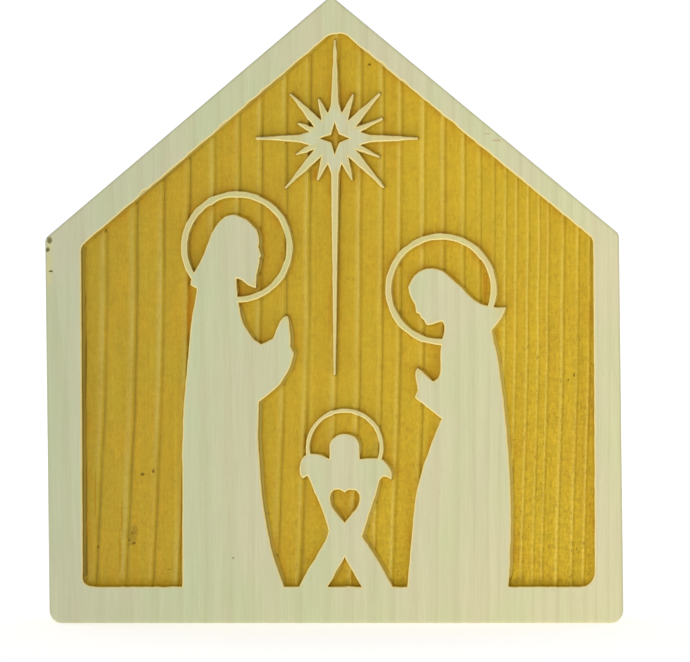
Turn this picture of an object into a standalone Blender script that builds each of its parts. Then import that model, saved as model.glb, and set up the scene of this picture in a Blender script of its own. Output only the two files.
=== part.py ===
"""Holy family block: a softwood board sawn to a house outline, its front cut back around raised figures.

The block stands on its base with its front facing -Y, +X to the right seen from the front and +Z up.
The origin is at the middle of the base. Lengths are in metres. Everything that stands in the recess is
left at the height of the front face, so the whole block is one solid.
"""

import math
from itertools import accumulate

import bmesh
import bpy
from mathutils import Vector

# The sawn board
BLOCK_WIDTH = 0.140
BLOCK_THICKNESS = 0.038
LEFT_WALL_HEIGHT = 0.0939
RIGHT_WALL_HEIGHT = 0.0950
PEAK_HEIGHT = 0.1531  # where the two roof lines meet, before the peak is rounded
PEAK_X = -0.0008
WALL_LEAN = 0.0011  # how much further right a side stands at its foot than at its shoulder
FOOT_RADIUS = 0.0032
SHOULDER_RADIUS = 0.0020
PEAK_RADIUS = 0.0016
EDGE_SOFTENING = 0.0005
EDGE_SEGMENTS = 2
ROUND_BEVEL = 0.5  # the bevel profile that is part of a circle

# The border left standing around the recess
LEFT_BORDER = 0.0084
RIGHT_BORDER = 0.0066
FOOT_BORDER = 0.0089
LEFT_ROOF_BORDER = 0.0069
RIGHT_ROOF_BORDER = 0.0051
RECESS_LEAN = 0.0005  # the sides of the recess stand a little straighter than the sawn ones
RECESS_LEFT_RADIUS = 0.0024
RECESS_RIGHT_RADIUS = 0.0036
RECESS_SHOULDER_RADIUS = 0.0024
RECESS_PEAK_RADIUS = 0.0044

# The recess floor, where the soft wood of each growth ring is worn deeper than its hard edge
RECESS_DEPTH = 0.0021  # to the hard edges, which stand highest
RING_SLOPE = 0.12  # how fast the floor rises across a ring, from its soft side to its hard edge
RING_DROP_RUN = 0.0004  # how far the floor takes to drop past a hard edge
FIRST_RING_EDGE = -0.0562  # the first hard edge inside the recess, at RING_HEIGHT
RING_WIDTHS = (
    0.0073, 0.0066, 0.0063, 0.0061, 0.0061, 0.0054, 0.0061, 0.0056, 0.0071, 0.0056, 0.0054, 0.0044, 0.0058,
    0.0049, 0.0049, 0.0039, 0.0034, 0.0029, 0.0027, 0.0029, 0.0027, 0.0022, 0.0037, 0.0036, 0.0029,
)
RING_HEIGHT = 0.0789  # the height at which the ring widths are given
RING_LEAN = 0.0255  # sideways run of the grain for each metre up
RING_BOW = 0.107  # how fast the grain bends, per metre
GRAIN_STATIONS = 6  # heights at which the bent grain is modelled

# Haloes
HALO_RADIUS = 0.0136
HALO_BAND = 0.00146
CHILD_HALO_RADIUS = 0.00946
CHILD_HALO_BAND = 0.00095
HALO_SEGMENTS = 72

# The bearded figure on the left, from its own point on the floor of the stable
BEARDED_X = -0.0249
BEARDED_HALO = (0.0011, 0.0829)
BEARDED_HAIRLINE = (0.0058, 0.0872)
BEARDED_FACE_LENGTH = 0.0104
BEARDED_BOW = math.radians(4)

# The veiled figure on the right, with its head bowed
VEILED_X = 0.0302
VEILED_HALO = (-0.0042, 0.0726)
VEILED_HAIRLINE = (-0.0122, 0.0731)
VEILED_FACE_LENGTH = 0.0104
VEILED_BOW = math.radians(32)

# The crib and the child
CRIB_X = 0.0025
CHILD_HEAD_HEIGHT = 0.0337
CHILD_HEAD_RADIUS = 0.0037
CHILD_HALO_HEIGHT = 0.0340
CHILD_SEGMENTS = 32

# The star
STAR_X = 0.0001
STAR_BELOW_PEAK = 0.0270  # from the peak of the recess, before it is rounded
RAY_TIP = 0.0004
RAY_WAIST_DISTANCE = 0.0086
RAY_WAIST = 0.0018
RAY_LENGTHS = (  # from the right round to the left and back, a sixteenth of a turn apart
    0.0202, 0.0125, 0.0155, 0.0117, 0.0240, 0.0105, 0.0154, 0.0098,
    0.0192, 0.0103, 0.0170, 0.0110, 0.0576, 0.0111, 0.0169, 0.0118,
)
VALLEYS = (  # direction in degrees and distance of each hollow between two rays, in a quarter turn
    (14.5, 0.0065),
    (28.5, 0.0058),
    (53.5, 0.0055),
    (75.0, 0.0065),
)
STAR_HOLE_HEIGHT = 0.0040
STAR_HOLE_WIDTH = 0.0036
STAR_HOLE_WAIST = 0.0014

CURVE_STEP = 0.0010  # the longest facet on a curved outline
CURVE_TURN = math.radians(25)  # the most that an outline turns between two facets of a curve
CORNER_SEGMENTS = 8
SHARP_ANGLE = math.radians(30)  # edges that turn more than this stay crisp
OVERSHOOT = 0.002  # how far a cutter stands past what it cuts

# Which cutters reach past which: each is longer, front and back, than those with a lower number
RECESS_LAYER = 2
STANDING_LAYER = 3
OPENING_LAYER = 4

# A face seen from the side, from hairline to chin: how far along it and how far forward, as parts of
# its length. The brow is a third of the way down and the base of the nose two thirds.
FACE = (
    (0.15, 0.060), (0.31, 0.085), (0.41, 0.072), (0.52, 0.115), (0.61, 0.158), (0.67, 0.112),
    (0.76, 0.122), (0.86, 0.092), (0.94, 0.100), (1.01, 0.060),
)
NOSE_BASE = 6  # how many of those points lie above the lips, where a beard covers the rest

# Outlines are given as runs of points in order, from the figure's own point on the floor of the stable.
# A run is a smooth curve that starts at the last point of the run before it, and its own last point is
# a corner. An outline with a face starts and ends at the hairline.
HOOD = [
    [(0.0034, 0.0896), (0.0, 0.0908), (-0.0025, 0.0898), (-0.0046, 0.0870), (-0.0061, 0.0834),
     (-0.0080, 0.0790), (-0.0098, 0.0758), (-0.0102, 0.0736)],
    [(-0.0087, 0.0727)],
]
BEARDED_ROBE_BACK = [
    [(-0.0089, 0.0707), (-0.0098, 0.0663), (-0.0104, 0.0602), (-0.0115, 0.0480), (-0.0121, 0.0358),
     (-0.0122, 0.0163), (-0.0122, -OVERSHOOT)],
    [(0.0132, -OVERSHOOT)],
]
BEARDED_ROBE_FRONT = [
    [(0.0126, 0.0002), (0.0116, 0.0029), (0.0100, 0.0075), (0.0088, 0.0126), (0.0073, 0.0219),
     (0.0067, 0.0297), (0.0063, 0.0370), (0.0065, 0.0451)],
    [(0.0093, 0.0473), (0.0111, 0.0490), (0.0124, 0.0507), (0.0136, 0.0525), (0.0144, 0.0546),
     (0.0150, 0.0570)],
    [(0.0142, 0.0587)],
    [(0.0141, 0.0614), (0.0139, 0.0638), (0.0135, 0.0660)],
    [(0.0130, 0.0662)],
    [(0.0116, 0.0648), (0.0107, 0.0626), (0.0098, 0.0605)],
    [(0.0084, 0.0598), (0.0070, 0.0592)],
    [(0.0054, 0.0602), (0.0037, 0.0625), (0.0023, 0.0653), (0.0016, 0.0687), (0.0011, 0.0719),
     (0.0009, 0.0754)],
]
BEARD = [
    [(0.0022, 0.0749), (0.0039, 0.0735), (0.0057, 0.0730)],
    [(0.0059, 0.0760), (0.0063, 0.0783), (0.0066, 0.0800)],
]

VEIL = [
    [(-0.0112, 0.0751), (-0.0098, 0.0767), (-0.0075, 0.0777), (-0.0053, 0.0776), (-0.0032, 0.0765),
     (-0.0005, 0.0742), (0.0024, 0.0714), (0.0046, 0.0696), (0.0062, 0.0688)],
    [(0.0080, 0.0684), (0.0098, 0.0682), (0.0117, 0.0683)],
    [(0.0106, 0.0658), (0.0093, 0.0639), (0.0081, 0.0625)],
]
VEILED_ROBE_BACK = [
    [(0.0088, 0.0595), (0.0096, 0.0560), (0.0102, 0.0517), (0.0110, 0.0456), (0.0118, 0.0382),
     (0.0125, 0.0285), (0.0128, 0.0187), (0.0126, 0.0065), (0.0120, -OVERSHOOT)],
    [(-0.0125, -OVERSHOOT)],
]
VEILED_ROBE_FRONT = [
    [(-0.0124, 0.0), (-0.0120, 0.0048), (-0.0113, 0.0126), (-0.0104, 0.0212), (-0.0088, 0.0285),
     (-0.0068, 0.0343), (-0.0051, 0.0385), (-0.0040, 0.0410)],
    [(-0.0058, 0.0425), (-0.0080, 0.0440), (-0.0105, 0.0462)],
    [(-0.0098, 0.0479)],
    [(-0.0102, 0.0502), (-0.0105, 0.0524), (-0.0099, 0.0533)],
    [(-0.0090, 0.0527), (-0.0076, 0.0514), (-0.0061, 0.0501)],
    [(-0.0049, 0.0510), (-0.0043, 0.0526), (-0.0043, 0.0565), (-0.0040, 0.0597), (-0.0034, 0.0624),
     (-0.0034, 0.0638), (-0.0038, 0.0649)],
]

CRIB = [
    [(-0.0111, -OVERSHOOT)],
    [(0.0117, -OVERSHOOT)],
    [(0.0117, 0.0)],
    [(0.0079, 0.0068)],
    [(0.0060, 0.0096), (0.0043, 0.0123)],
    [(0.0071, 0.0212)],
    [(0.0085, 0.0258)],
    [(0.0093, 0.0268), (0.0102, 0.0268), (0.0113, 0.0263)],
    [(0.0115, 0.0279), (0.0106, 0.0296), (0.0093, 0.0311)],
    [(0.0062, 0.0314), (0.0037, 0.0311)],
    [(-0.0037, 0.0311)],
    [(-0.0057, 0.0322), (-0.0077, 0.0324), (-0.0093, 0.0322), (-0.0104, 0.0311), (-0.0110, 0.0292),
     (-0.0109, 0.0275), (-0.0101, 0.0263)],
    [(-0.0091, 0.0272)],
    [(-0.0063, 0.0207)],
    [(-0.0046, 0.0164), (-0.0038, 0.0136)],
    [(-0.0043, 0.0121), (-0.0057, 0.0095)],
    [(-0.0079, 0.0058)],
    [(-0.0100, 0.0023), (-0.0111, 0.0)],
]
HEART_HALF = [(0.0008, 0.0235), (0.0021, 0.0237), (0.0032, 0.0231), (0.0037, 0.0217), (0.0033, 0.0199),
              (0.0020, 0.0180)]
HEART_NOTCH = (0.0, 0.0229)
HEART_TIP = (0.0, 0.0157)
LEGS_GAP_WIDTH = 0.0082
LEGS_GAP_HEIGHT = 0.0073

# Colours
PALE_WOOD = (0.62, 0.58, 0.35, 1.0)
GOLDEN_STAIN = (0.52, 0.35, 0.045, 1.0)
WOOD_ROUGHNESS = 0.6

FRONT = -BLOCK_THICKNESS / 2
BACK = BLOCK_THICKNESS / 2
GROUND = FOOT_BORDER


def clear_scene():
    for old in list(bpy.data.objects):
        bpy.data.objects.remove(old, do_unlink=True)


def material(name, colour):
    """A plain finish in one colour."""
    finish = bpy.data.materials.new(name)
    finish.use_nodes = True
    shader = finish.node_tree.nodes["Principled BSDF"]
    shader.inputs["Base Color"].default_value = colour
    shader.inputs["Roughness"].default_value = WOOD_ROUGHNESS
    shader.inputs["Metallic"].default_value = 0.0
    return finish


def meeting_point(start, along, other_start, other_along):
    """Where two straight lines meet."""
    cross = along.cross(other_along)
    distance = (other_start - start).cross(other_along) / cross
    return start + along * distance


def inset(corners, borders):
    """The corners of an outline with each side moved inwards; side i runs from corner i to the next."""
    sides = []
    for i, corner in enumerate(corners):
        along = (corners[(i + 1) % len(corners)] - corner).normalized()
        inward = Vector((-along.y, along.x))
        sides.append((corner + inward * borders[i], along))
    return [meeting_point(*sides[i - 1], *sides[i]) for i in range(len(sides))]


def rounded(corners, radii):
    """The outline through some corners, each rounded with an arc of its own radius."""
    points = []
    for i, corner in enumerate(corners):
        before = (corners[i - 1] - corner).normalized()
        after = (corners[(i + 1) % len(corners)] - corner).normalized()
        half_angle = before.angle(after) / 2
        centre = corner + (before + after).normalized() * (radii[i] / math.sin(half_angle))
        start = corner + before * (radii[i] / math.tan(half_angle)) - centre
        turn = math.pi - 2 * half_angle
        for step in range(CORNER_SEGMENTS + 1):
            angle = turn * step / CORNER_SEGMENTS
            points.append(centre + Vector((
                start.x * math.cos(angle) - start.y * math.sin(angle),
                start.x * math.sin(angle) + start.y * math.cos(angle),
            )))
    return points


def smooth_curve(points):
    """Points along a curve through all of the given points; two points give a straight line."""
    points = [Vector(point) for point in points]
    if len(points) == 2:
        return points
    padded = [2 * points[0] - points[1]] + points + [2 * points[-1] - points[-2]]
    curve = [points[0]]
    for a, b, c, d in zip(padded, padded[1:], padded[2:], padded[3:]):
        turn = (b - a).angle(c - b) / 2 + (c - b).angle(d - c) / 2
        steps = max(1, round((c - b).length / CURVE_STEP), math.ceil(turn / CURVE_TURN))
        for step in range(1, steps + 1):
            t = step / steps
            curve.append(0.5 * (
                2 * b + (c - a) * t + (2 * a - 5 * b + 4 * c - d) * t * t + (3 * b - a - 3 * c + d) * t ** 3
            ))
    return curve


def outline(runs, x, z):
    """A closed outline from runs of points, placed at (x, z)."""
    place = Vector((x, z))
    corner = runs[-1][-1]
    points = []
    for run in runs:
        points += smooth_curve([corner] + run)[1:]
        corner = run[-1]
    return [point + place for point in points]


def face_profile(hairline, length, bow, facing):
    """The side view of a face, hairline to chin; facing is 1 to the right and -1 to the left."""
    down = Vector((-math.sin(bow) * facing, -math.cos(bow)))
    forward = Vector((math.cos(bow) * facing, -math.sin(bow)))
    return [Vector(hairline) + down * (along * length) + forward * (out * length) for along, out in FACE]


def circle(centre, radius, segments):
    """Points round a circle, anticlockwise."""
    angles = [2 * math.pi * i / segments for i in range(segments)]
    return [centre + Vector((math.cos(a), math.sin(a))) * radius for a in angles]


def finish_mesh(name, bm, finish):
    """Turns a bmesh into an object, smooth round its curves."""
    bmesh.ops.recalc_face_normals(bm, faces=bm.faces)
    mesh = bpy.data.meshes.new(name)
    bm.to_mesh(mesh)
    bm.free()
    mesh.materials.append(finish)
    mesh.shade_smooth()
    mesh.set_sharp_from_angle(angle=SHARP_ANGLE)
    solid = bpy.data.objects.new(name, mesh)
    bpy.context.scene.collection.objects.link(solid)
    return solid


def as_cutter(solid):
    solid.hide_render = True
    solid.display_type = "WIRE"
    return solid


def extrude(bm, points, front, back):
    """Adds an outline's prism from one depth to another, and gives its two end faces."""
    first = bm.faces.new([bm.verts.new((point.x, front, point.y)) for point in points])
    made = bmesh.ops.extrude_face_region(bm, geom=[first], use_keep_orig=True)["geom"]
    moved = [part for part in made if isinstance(part, bmesh.types.BMVert)]
    bmesh.ops.translate(bm, vec=(0, back - front, 0), verts=moved)
    second = next(part for part in made if isinstance(part, bmesh.types.BMFace))
    return first, second


def deepest_floor():
    return FRONT + max(depth for _, depth in ring_profile())


def cutter(name, points, layer, finish):
    """A prism through the whole depth of the recess."""
    reach = OVERSHOOT * layer
    bm = bmesh.new()
    extrude(bm, points, FRONT - reach, deepest_floor() + reach)
    return as_cutter(finish_mesh(name, bm, finish))


def combine(solid, operation, others):
    """Cuts or limits a solid by others, which stay as guides."""
    for other in others:
        step = solid.modifiers.new(f"{operation.lower()} {other.name}", "BOOLEAN")
        step.operation = operation
        step.solver = "EXACT"
        step.material_mode = "TRANSFER"
        step.object = other


def board_corners(lean):
    """The sharp corners of the house outline, anticlockwise from the left foot."""
    half = BLOCK_WIDTH / 2
    return [
        Vector((lean / 2 - half, 0)),
        Vector((lean / 2 + half, 0)),
        Vector((half - lean / 2, RIGHT_WALL_HEIGHT)),
        Vector((PEAK_X, PEAK_HEIGHT)),
        Vector((-half - lean / 2, LEFT_WALL_HEIGHT)),
    ]


def recess_corners():
    borders = (FOOT_BORDER, RIGHT_BORDER, RIGHT_ROOF_BORDER, LEFT_ROOF_BORDER, LEFT_BORDER)
    return inset(board_corners(RECESS_LEAN), borders)


def make_board(finish):
    """The sawn board, with the edges of its two faces eased."""
    radii = (FOOT_RADIUS, FOOT_RADIUS, SHOULDER_RADIUS, PEAK_RADIUS, SHOULDER_RADIUS)
    bm = bmesh.new()
    faces = extrude(bm, rounded(board_corners(WALL_LEAN), radii), FRONT, BACK)
    rim = [edge for face in faces for edge in face.edges]
    bmesh.ops.bevel(
        bm, geom=rim, offset=EDGE_SOFTENING, segments=EDGE_SEGMENTS, profile=ROUND_BEVEL, affect="EDGES",
    )
    return finish_mesh("carved_block", bm, finish)


def ring_edges(left, right):
    """Where each ring's hard edge lies between two sides; past the list, rings are like its outer ones."""
    edges = list(accumulate(RING_WIDTHS, initial=FIRST_RING_EDGE))
    while edges[0] > left:
        edges.insert(0, edges[0] - RING_WIDTHS[0])
    while edges[-1] < right:
        edges.append(edges[-1] + RING_WIDTHS[-1])
    return edges


def grain_shift(z):
    """How far the grain has moved sideways at a height."""
    rise = z - RING_HEIGHT
    return RING_LEAN * rise - RING_BOW * rise * rise


def ring_profile():
    """The floor at RING_HEIGHT as (x, depth) points: up each ring's slope, then down past its hard edge."""
    margin = abs(RING_LEAN) * PEAK_HEIGHT + RING_BOW * PEAK_HEIGHT ** 2 + OVERSHOOT
    edges = ring_edges(-BLOCK_WIDTH / 2 - margin, BLOCK_WIDTH / 2 + margin)
    profile = []
    for edge, following in zip(edges, edges[1:]):
        profile.append((edge, RECESS_DEPTH))
        profile.append((edge + RING_DROP_RUN, RECESS_DEPTH + RING_SLOPE * (following - edge)))
    return profile


def make_ring_waves(finish):
    """A block over the whole front whose back is the waved floor of the recess."""
    profile = ring_profile()
    bm = bmesh.new()
    rows = []
    for station in range(GRAIN_STATIONS):
        z = -OVERSHOOT + (PEAK_HEIGHT + 2 * OVERSHOOT) * station / (GRAIN_STATIONS - 1)
        shift = grain_shift(z)
        row = [(x + shift, FRONT + depth, z) for x, depth in profile]
        row += [(profile[end][0] + shift, FRONT - OVERSHOOT, z) for end in (-1, 0)]
        rows.append([bm.verts.new(point) for point in row])
    for lower, upper in zip(rows, rows[1:]):
        for i in range(len(lower)):
            bm.faces.new((lower[i - 1], lower[i], upper[i], upper[i - 1]))
    bm.faces.new(rows[0])
    bm.faces.new(rows[-1][::-1])
    return as_cutter(finish_mesh("ring_waves", bm, finish))


def standing(name, points, finish):
    """The shape of wood that is left standing in the recess."""
    return cutter(name, points, STANDING_LAYER, finish)


def opening(name, points, finish):
    """The shape of a gap that goes right through what stands in the recess."""
    return cutter(name, points, OPENING_LAYER, finish)


def make_halo(name, centre, radius, band, finish):
    ring = standing(name, circle(centre, radius, HALO_SEGMENTS), finish)
    inside = opening(name + "_inside", circle(centre, radius - band, HALO_SEGMENTS), finish)
    combine(ring, "DIFFERENCE", [inside])
    return ring


def make_bearded_figure(finish):
    face = face_profile(BEARDED_HAIRLINE, BEARDED_FACE_LENGTH, BEARDED_BOW, 1)
    nose_to_brow = [tuple(point) for point in reversed(face[:NOSE_BASE])]
    runs = HOOD + BEARDED_ROBE_BACK + BEARDED_ROBE_FRONT + BEARD + [nose_to_brow + [BEARDED_HAIRLINE]]
    body = standing("bearded_figure", outline(runs, BEARDED_X, GROUND), finish)
    halo_centre = Vector(BEARDED_HALO) + Vector((BEARDED_X, GROUND))
    return [body, make_halo("bearded_halo", halo_centre, HALO_RADIUS, HALO_BAND, finish)]


def make_veiled_figure(finish):
    face = face_profile(VEILED_HAIRLINE, VEILED_FACE_LENGTH, VEILED_BOW, -1)
    chin_to_brow = [tuple(point) for point in reversed(face)]
    runs = VEIL + VEILED_ROBE_BACK + VEILED_ROBE_FRONT + [chin_to_brow + [VEILED_HAIRLINE]]
    body = standing("veiled_figure", outline(runs, VEILED_X, GROUND), finish)
    halo_centre = Vector(VEILED_HALO) + Vector((VEILED_X, GROUND))
    return [body, make_halo("veiled_halo", halo_centre, HALO_RADIUS, HALO_BAND, finish)]


def make_crib(finish):
    """The crib and the child lying in it, with a heart and the gap between the legs cut out."""
    crib = standing("crib", outline(CRIB, CRIB_X, GROUND), finish)
    heart_runs = [HEART_HALF[::-1] + [HEART_NOTCH], [(-x, z) for x, z in HEART_HALF] + [HEART_TIP]]
    heart = opening("heart", outline(heart_runs, CRIB_X, GROUND), finish)
    flare = LEGS_GAP_WIDTH / 2 * (1 + OVERSHOOT / LEGS_GAP_HEIGHT)
    gap_runs = [[(-flare, -OVERSHOOT)], [(flare, -OVERSHOOT)], [(0.0, LEGS_GAP_HEIGHT)]]
    gap = opening("legs_gap", outline(gap_runs, CRIB_X, GROUND), finish)
    combine(crib, "DIFFERENCE", [heart, gap])
    head_centre = Vector((CRIB_X, GROUND + CHILD_HEAD_HEIGHT))
    head_top = [p for p in circle(head_centre, CHILD_HEAD_RADIUS, CHILD_SEGMENTS) if p.y > head_centre.y]
    blanket = GROUND + CHILD_HEAD_HEIGHT - 2 * CHILD_HEAD_RADIUS
    sides = [Vector((CRIB_X - CHILD_HEAD_RADIUS, blanket)), Vector((CRIB_X + CHILD_HEAD_RADIUS, blanket))]
    child = standing("child", sides + head_top, finish)
    halo_centre = Vector((CRIB_X, GROUND + CHILD_HALO_HEIGHT))
    return [crib, child, make_halo("child_halo", halo_centre, CHILD_HALO_RADIUS, CHILD_HALO_BAND, finish)]


def star_outline(x, z):
    """Sixteen rays with a hollow between each two; the upright and level rays also have a waist."""
    points = []
    step = 2 * math.pi / len(RAY_LENGTHS)
    quarters = [[(math.radians(angle), distance) for angle, distance in VALLEYS]]
    quarters.append([(math.pi - angle, distance) for angle, distance in reversed(quarters[0])])
    quarters.append([(math.pi + angle, distance) for angle, distance in quarters[0]])
    quarters.append([(2 * math.pi - angle, distance) for angle, distance in reversed(quarters[0])])
    hollows = [hollow for quarter in quarters for hollow in quarter]
    for i, (length, hollow) in enumerate(zip(RAY_LENGTHS, hollows)):
        along = Vector((math.cos(i * step), math.sin(i * step)))
        across = Vector((-along.y, along.x))
        sides = [along * length - across * RAY_TIP / 2, along * length + across * RAY_TIP / 2]
        if i % 4 == 0:
            sides.insert(0, along * RAY_WAIST_DISTANCE - across * RAY_WAIST / 2)
            sides.append(along * RAY_WAIST_DISTANCE + across * RAY_WAIST / 2)
        points += sides
        points.append(Vector((math.cos(hollow[0]), math.sin(hollow[0]))) * hollow[1])
    return [point + Vector((x, z)) for point in points]


def make_star(finish):
    x = STAR_X
    z = recess_corners()[3].y - STAR_BELOW_PEAK
    star = standing("star", star_outline(x, z), finish)
    waist = STAR_HOLE_WAIST / math.sqrt(2)
    quarter = [Vector((STAR_HOLE_WIDTH, 0)), Vector((waist, waist)), Vector((0, STAR_HOLE_HEIGHT)),
               Vector((-waist, waist))]
    hole_points = quarter + [-point for point in quarter]
    hole = opening("star_hole", [point + Vector((x, z)) for point in hole_points], finish)
    combine(star, "DIFFERENCE", [hole])
    return [star]


def make_recess(finish):
    """Everything that is cut away from the front of the board."""
    radii = (
        RECESS_LEFT_RADIUS, RECESS_RIGHT_RADIUS, RECESS_SHOULDER_RADIUS, RECESS_PEAK_RADIUS,
        RECESS_SHOULDER_RADIUS,
    )
    cut = cutter("recess", rounded(recess_corners(), radii), RECESS_LAYER, finish)
    combine(cut, "INTERSECT", [make_ring_waves(finish)])
    figures = make_bearded_figure(finish) + make_veiled_figure(finish) + make_crib(finish)
    combine(cut, "DIFFERENCE", figures + make_star(finish))
    return cut


def main():
    clear_scene()
    pale = material("pale_wood", PALE_WOOD)
    stain = material("golden_stain", GOLDEN_STAIN)
    board = make_board(pale)
    combine(board, "DIFFERENCE", [make_recess(stain)])


main()
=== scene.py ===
"""Holy family block: the looks of a softwood block with bare raised faces and a worn, stained recess."""

import math
from itertools import accumulate

import bmesh
import bpy
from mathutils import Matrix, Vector, geometry, noise
from mathutils.bvhtree import BVHTree


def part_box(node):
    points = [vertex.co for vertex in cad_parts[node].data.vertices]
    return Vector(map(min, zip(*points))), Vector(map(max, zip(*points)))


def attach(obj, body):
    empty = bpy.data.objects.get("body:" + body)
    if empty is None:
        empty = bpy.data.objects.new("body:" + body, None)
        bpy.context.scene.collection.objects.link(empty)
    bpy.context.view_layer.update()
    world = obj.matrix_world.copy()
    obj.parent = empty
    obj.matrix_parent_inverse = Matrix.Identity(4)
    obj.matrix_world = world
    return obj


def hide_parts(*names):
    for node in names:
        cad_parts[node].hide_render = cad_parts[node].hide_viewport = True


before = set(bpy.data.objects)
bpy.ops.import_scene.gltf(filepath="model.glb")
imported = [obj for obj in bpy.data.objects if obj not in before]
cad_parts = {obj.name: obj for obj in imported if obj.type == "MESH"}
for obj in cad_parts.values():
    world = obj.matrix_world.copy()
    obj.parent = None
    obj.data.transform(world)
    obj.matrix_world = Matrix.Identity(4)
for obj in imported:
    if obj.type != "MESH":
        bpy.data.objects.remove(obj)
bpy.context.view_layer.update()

MM = 0.001
TOUCH = 0.01 * MM  # places closer than this count as level with each other
LOW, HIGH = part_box("carved_block")
FRONT = LOW.y
BLOCK_DEPTH = HIGH.y - LOW.y

# Growth rings across the front, as in the solid, in millimetres from the first hard edge inside the recess
RING_WIDTHS = (
    7.3, 6.6, 6.3, 6.1, 6.1, 5.4, 6.1, 5.6, 7.1, 5.6, 5.4, 4.4, 5.8,
    4.9, 4.9, 3.9, 3.4, 2.9, 2.7, 2.9, 2.7, 2.2, 3.7, 3.6, 2.9,
)
FIRST_RING_EDGE = -56.2 * MM
RING_HEIGHT = 78.9 * MM  # the height at which the ring widths are given
RING_LEAN = 0.006  # sideways run of the grain for each metre up
BEND_HEIGHT = 62 * MM  # below here the grain runs off to the left
BEND_RADIUS = 10 * MM
BEND_AT_LEFT = 0.045  # sideways run for each metre down, at each side of the block
BEND_AT_RIGHT = 0.020
RING_WANDER = 0.14 * MM
RING_MARGIN = 12 * MM  # how far past the block's sides the rings are laid out
FLOOR_DEPTH = 2.1 * MM  # from the front face to the hard edges of the rings
RING_SLOPE = 0.12
SOFT_WOOD_RISE = 0.4  # share of a ring's rise that is even across it; the rest is close to its hard edge
RING_DROP_RUN = 0.2 * MM  # how far the drop behind a hard edge runs, and its share of the ring
RING_DROP_SHARE = 0.05
FAINT_RING = 0.35  # how much lower a hard edge is where it is faintest
HARD_EDGE_SIDE = 0.05 * MM  # a point this little past a hard edge still counts as on it
ROOF_SLOPE = 0.845

# The pith lies behind the block, left of its middle, so the rings are arcs in the end grain
PITH_X = -95 * MM
PITH_BEHIND_FLOOR = 50 * MM
PITH_LEAN = 0.06
INNER_RING_WIDTH = 4.0 * MM

# The worn floor
CELL_ACROSS = 0.36 * MM
CELL_ALONG = 0.85 * MM
SLAB_THICKNESS = 3.6 * MM
SLAB_MARGIN = 1.1 * MM  # how far the floor runs on inside the standing wood
SUNK_DEPTH = 4.3 * MM  # the solid's own floor is sunk to here, inside the new one
FLOOR_REACH = 10 * MM  # how far past the recess its grid is laid, before it is trimmed
FEWEST_RING_CELLS = 5
FIBRE_HEIGHT = 0.055 * MM
GRAIN_PIT_DEPTH = 0.05 * MM

# The worn edges of the standing wood
LONGEST_EDGE = 1.1 * MM
# Depth below the front, and how far the edge is worn back there
ARRIS = ((0.0, 0.32 * MM), (0.12 * MM, 0.12 * MM), (0.34 * MM, 0.0))
WORN_SHARE = 0.38  # the most that is worn off each side of a thin piece, as a share of its width
EDGE_WOBBLE = 0.10 * MM
BROAD_WOBBLE, FINE_WOBBLE = 420, 1100  # waves of the wobble, in pattern units per metre
FINE_WOBBLE_SHARE = 0.5
LONGEST_WAY_BACK = 1.6  # at a corner, against 1 along a straight edge
DEEP_WEAR_SHARE = 0.3  # how much of the most is allowed at the deepest level of the arris
ROOF_BITE = 1.1 * MM  # how far the softest fibres are worn back along the roof's inner edge
DEEPEST_BITE = 0.35 * MM
ROOF_BITE_SIZE = 3 * MM
ROOF_BORDER = 18 * MM  # from the outer roof line straight down past the inner one
BITTEN_FROM = 8 * MM  # from the middle, clear of the peak
BITTEN_TO = 52 * MM  # clear of the eaves
FOOT_SPREAD = 0.2 * MM  # how far a wall of the standing wood spreads outwards down to the sunk floor
LEE_FOOT_SPREAD = 1.7 * MM  # how much more where it faces right, because the blast came from the left
FRONT_CELL = 4 * MM
THIN_WOOD = (1.6 * MM, 3.0 * MM)  # wood is thin up to the first width, and no longer thin at the second
FOOT_SHARE = 0.6  # the most that a wall spreads, as a share of the width of its wood
STEEPEST_SPREAD = 0.5  # the most that the spread grows for each metre along the foot
EVEN_OUT_PASSES = 8
WORN_REACH = 1.0 * MM
SHORTEST_EDGE = 0.0005 * MM
END_GRAIN_WOBBLE = 0.6  # how much more ragged an edge is where it runs across the grain
FREE_SHARE = 0.3  # the most that a wall spreads, as a share of the free width in front of it
HARD_RING_STAND = 0.10 * MM  # how far an edge stands out where a ring's hard line crosses it

# Patterns along the grain: units per metre across and up, and a layer of their own
RING_WANDER_PATTERN = (60, 70, 5)
FAINT_RING_PATTERN = (150, 35, 19)
FIBRE_PATTERN = (1900, 130, 3)
BROAD_FIBRE_PATTERN = (420, 60, 11)
GRIT_PATTERN = (1500, 900, 27)

# Marks on the wood: middle across and up, half width and half height, in millimetres
DARK_SPECKS = (
    (-46.9, 36.3, 0.55, 0.42), (-44.2, 37.0, 0.32, 0.52), (-48.9, 19.5, 0.48, 0.38),
    (-50.1, 20.2, 0.28, 0.30), (-49.4, 21.9, 0.30, 0.26), (-57.7, 18.5, 0.36, 0.38),
    (8.6, 136.4, 0.46, 0.34), (-24.7, 15.9, 0.30, 0.40), (58.6, 60.6, 0.20, 0.5),
    (57.2, 59.4, 0.18, 0.26), (-40.4, 13.1, 0.45, 0.14), (-42.0, 12.0, 0.25, 0.14),
)
BROWN_SMUDGES = ((-49.6, 21.2, 1.3, 2.4), (-48.6, 22.5, 0.8, 1.6))
RESIN_STREAKS = ((-58.4, 31.0, 0.30, 7.0), (-51.9, 25.5, 0.36, 4.5), (-52.4, 17.5, 0.40, 5.5))
POCKETS = (
    (-35.2, 76.6, 0.9, 7.2), (36.9, 82.6, 0.8, 4.0), (-4.7, 109.3, 0.8, 1.8),
    (-23.1, 81.8, 0.6, 1.6), (-12.8, 89.3, 0.25, 1.8), (-35.5, 46.0, 0.5, 6.0),
)
TAN_MARKS = ((39.6, 117.8, 1.4, 0.25), (37.2, 119.4, 0.7, 0.22))
YELLOWED_PATCHES = ((-69.5, 87.0, 0.9, 5.5), (-69.4, 92.1, 0.9, 0.8))
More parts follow.
